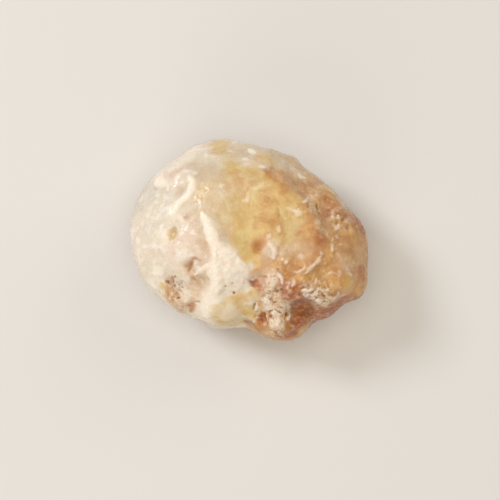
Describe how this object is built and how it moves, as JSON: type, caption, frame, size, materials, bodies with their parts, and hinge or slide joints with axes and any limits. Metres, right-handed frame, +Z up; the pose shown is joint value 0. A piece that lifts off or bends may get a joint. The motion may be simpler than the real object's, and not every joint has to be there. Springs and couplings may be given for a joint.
{
  "type": "rough opal",
  "caption": "Loose rough opal nodule: a rounded lump of milky honey and cream opal with a pale pitted crust and rusty matrix, lying on a worn flat face.",
  "frame": {"origin": "on the surface that the stone lies on, under the middle of its bounding box", "axes": "+Z up; +X along the stone's length, towards its rusty end; +Y across it, away from the side with the knob and notches"},
  "size_m": [0.045, 0.0382, 0.025],
  "materials": {
    "opal": "satin"
  },
  "bodies": {
    "root": {"opal_nodule": "opal"}
  },
  "joints": []
}
